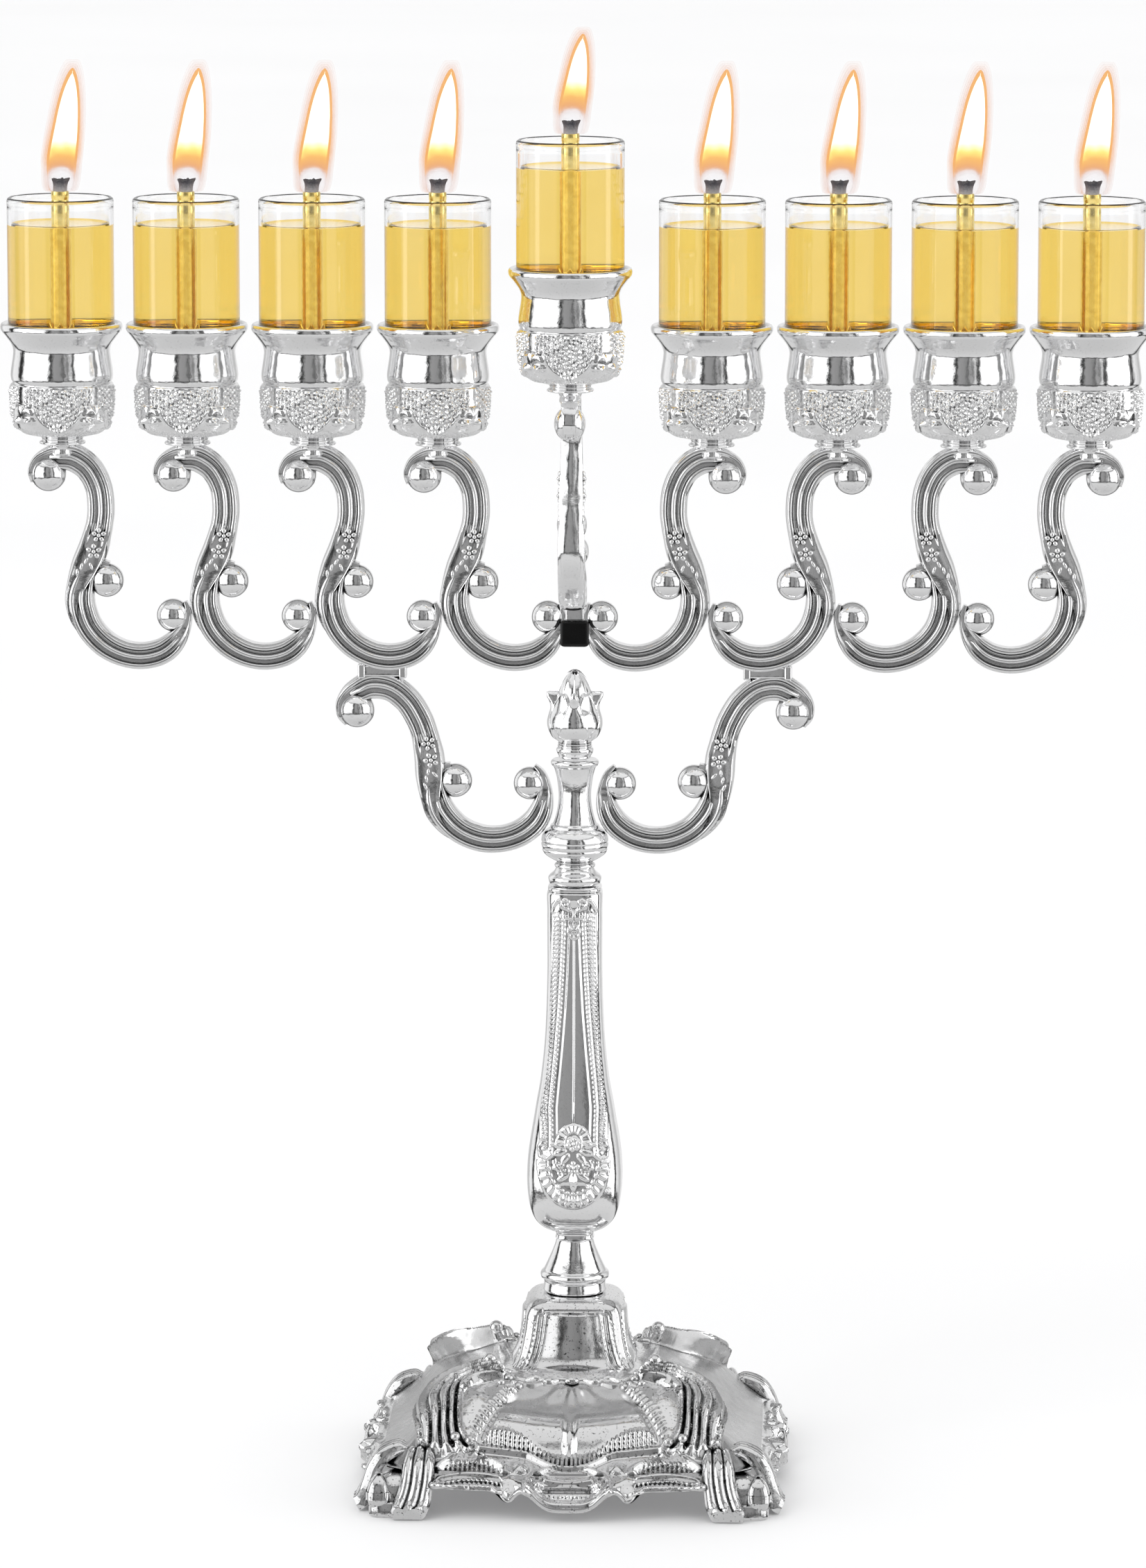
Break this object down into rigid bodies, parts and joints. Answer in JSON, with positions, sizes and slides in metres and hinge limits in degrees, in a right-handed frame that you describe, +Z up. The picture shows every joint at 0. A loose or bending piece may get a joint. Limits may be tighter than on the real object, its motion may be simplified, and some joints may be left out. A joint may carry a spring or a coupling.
{
  "type": "oil menorah",
  "caption": "Table menorah with scroll branches in one row, a raised middle light, glass oil cups with wick tubes, and a square domed base on corner feet.",
  "frame": {"origin": "on the ground under the middle of the base", "axes": "+Z up, the front faces -Y, +X to the right seen from the front"},
  "size_m": [0.2384, 0.0908, 0.2895],
  "materials": {
    "silver_plate": "bright silver plate on a zinc casting, satin in the cast edges",
    "zinc_steel": "plain zinc-plated steel",
    "clear_glass": "clear, polished",
    "brass_tube": "drawn brass, bright",
    "cotton_wick": "cotton, charred at the top",
    "lamp_oil": "clear golden-yellow oil",
    "flame": "glowing oil flame"
  },
  "bodies": {
    "root": {"base": "silver_plate", "stem_cone": "silver_plate", "baluster_stem": "silver_plate", "branch_column": "silver_plate", "finial": "silver_plate", "tie_rod": "zinc_steel", "washer": "zinc_steel", "nut": "zinc_steel", "lower_arm_left": "silver_plate", "lower_arm_right": "silver_plate", "crown_bracket_left": "silver_plate", "crown_bracket_right": "silver_plate", "branch_arm_1": "silver_plate", "branch_arm_2": "silver_plate", "branch_arm_3": "silver_plate", "branch_arm_4": "silver_plate", "branch_arm_5": "silver_plate", "branch_arm_6": "silver_plate", "branch_arm_7": "silver_plate", "branch_arm_8": "silver_plate", "shamash_socket": "silver_plate", "holder_cup_1": "silver_plate", "holder_cup_2": "silver_plate", "holder_cup_3": "silver_plate", "holder_cup_4": "silver_plate", "holder_cup_5": "silver_plate", "holder_cup_6": "silver_plate", "holder_cup_7": "silver_plate", "holder_cup_8": "silver_plate"},
    "shamash_arm": {"shamash_arm": "silver_plate", "holder_cup_9": "silver_plate"},
    "glass_1": {"glass_cup_1": "clear_glass"},
    "wick_set_1": {"wick_holder_1": "brass_tube", "wick_1": "cotton_wick"},
    "glass_2": {"glass_cup_2": "clear_glass"},
    "wick_set_2": {"wick_holder_2": "brass_tube", "wick_2": "cotton_wick"},
    "glass_3": {"glass_cup_3": "clear_glass"},
    "wick_set_3": {"wick_holder_3": "brass_tube", "wick_3": "cotton_wick"},
    "glass_4": {"glass_cup_4": "clear_glass"},
    "wick_set_4": {"wick_holder_4": "brass_tube", "wick_4": "cotton_wick"},
    "glass_5": {"glass_cup_5": "clear_glass"},
    "wick_set_5": {"wick_holder_5": "brass_tube", "wick_5": "cotton_wick"},
    "glass_6": {"glass_cup_6": "clear_glass"},
    "wick_set_6": {"wick_holder_6": "brass_tube", "wick_6": "cotton_wick"},
    "glass_7": {"glass_cup_7": "clear_glass"},
    "wick_set_7": {"wick_holder_7": "brass_tube", "wick_7": "cotton_wick"},
    "glass_8": {"glass_cup_8": "clear_glass"},
    "wick_set_8": {"wick_holder_8": "brass_tube", "wick_8": "cotton_wick"},
    "glass_9": {"glass_cup_9": "clear_glass"},
    "wick_set_9": {"wick_holder_9": "brass_tube", "wick_9": "cotton_wick"}
  },
  "joints": [
    {"name": "shamash_lift", "type": "slide", "parent": "root", "child": "shamash_arm", "axis": [0, 0, 1], "range_m": [0, 0.02]},
    {"name": "glass_lift_1", "type": "slide", "parent": "root", "child": "glass_1", "axis": [0, 0, 1], "range_m": [0, 0.03]},
    {"name": "wick_lift_1", "type": "slide", "parent": "glass_1", "child": "wick_set_1", "axis": [0, 0, 1], "range_m": [0, 0.035]},
    {"name": "glass_lift_2", "type": "slide", "parent": "root", "child": "glass_2", "axis": [0, 0, 1], "range_m": [0, 0.03]},
    {"name": "wick_lift_2", "type": "slide", "parent": "glass_2", "child": "wick_set_2", "axis": [0, 0, 1], "range_m": [0, 0.035]},
    {"name": "glass_lift_3", "type": "slide", "parent": "root", "child": "glass_3", "axis": [0, 0, 1], "range_m": [0, 0.03]},
    {"name": "wick_lift_3", "type": "slide", "parent": "glass_3", "child": "wick_set_3", "axis": [0, 0, 1], "range_m": [0, 0.035]},
    {"name": "glass_lift_4", "type": "slide", "parent": "root", "child": "glass_4", "axis": [0, 0, 1], "range_m": [0, 0.03]},
    {"name": "wick_lift_4", "type": "slide", "parent": "glass_4", "child": "wick_set_4", "axis": [0, 0, 1], "range_m": [0, 0.035]},
    {"name": "glass_lift_5", "type": "slide", "parent": "root", "child": "glass_5", "axis": [0, 0, 1], "range_m": [0, 0.03]},
    {"name": "wick_lift_5", "type": "slide", "parent": "glass_5", "child": "wick_set_5", "axis": [0, 0, 1], "range_m": [0, 0.035]},
    {"name": "glass_lift_6", "type": "slide", "parent": "root", "child": "glass_6", "axis": [0, 0, 1], "range_m": [0, 0.03]},
    {"name": "wick_lift_6", "type": "slide", "parent": "glass_6", "child": "wick_set_6", "axis": [0, 0, 1], "range_m": [0, 0.035]},
    {"name": "glass_lift_7", "type": "slide", "parent": "root", "child": "glass_7", "axis": [0, 0, 1], "range_m": [0, 0.03]},
    {"name": "wick_lift_7", "type": "slide", "parent": "glass_7", "child": "wick_set_7", "axis": [0, 0, 1], "range_m": [0, 0.035]},
    {"name": "glass_lift_8", "type": "slide", "parent": "root", "child": "glass_8", "axis": [0, 0, 1], "range_m": [0, 0.03]},
    {"name": "wick_lift_8", "type": "slide", "parent": "glass_8", "child": "wick_set_8", "axis": [0, 0, 1], "range_m": [0, 0.035]},
    {"name": "glass_lift_9", "type": "slide", "parent": "shamash_arm", "child": "glass_9", "axis": [0, 0, 1], "range_m": [0, 0.03]},
    {"name": "wick_lift_9", "type": "slide", "parent": "glass_9", "child": "wick_set_9", "axis": [0, 0, 1], "range_m": [0, 0.035]}
  ]
}
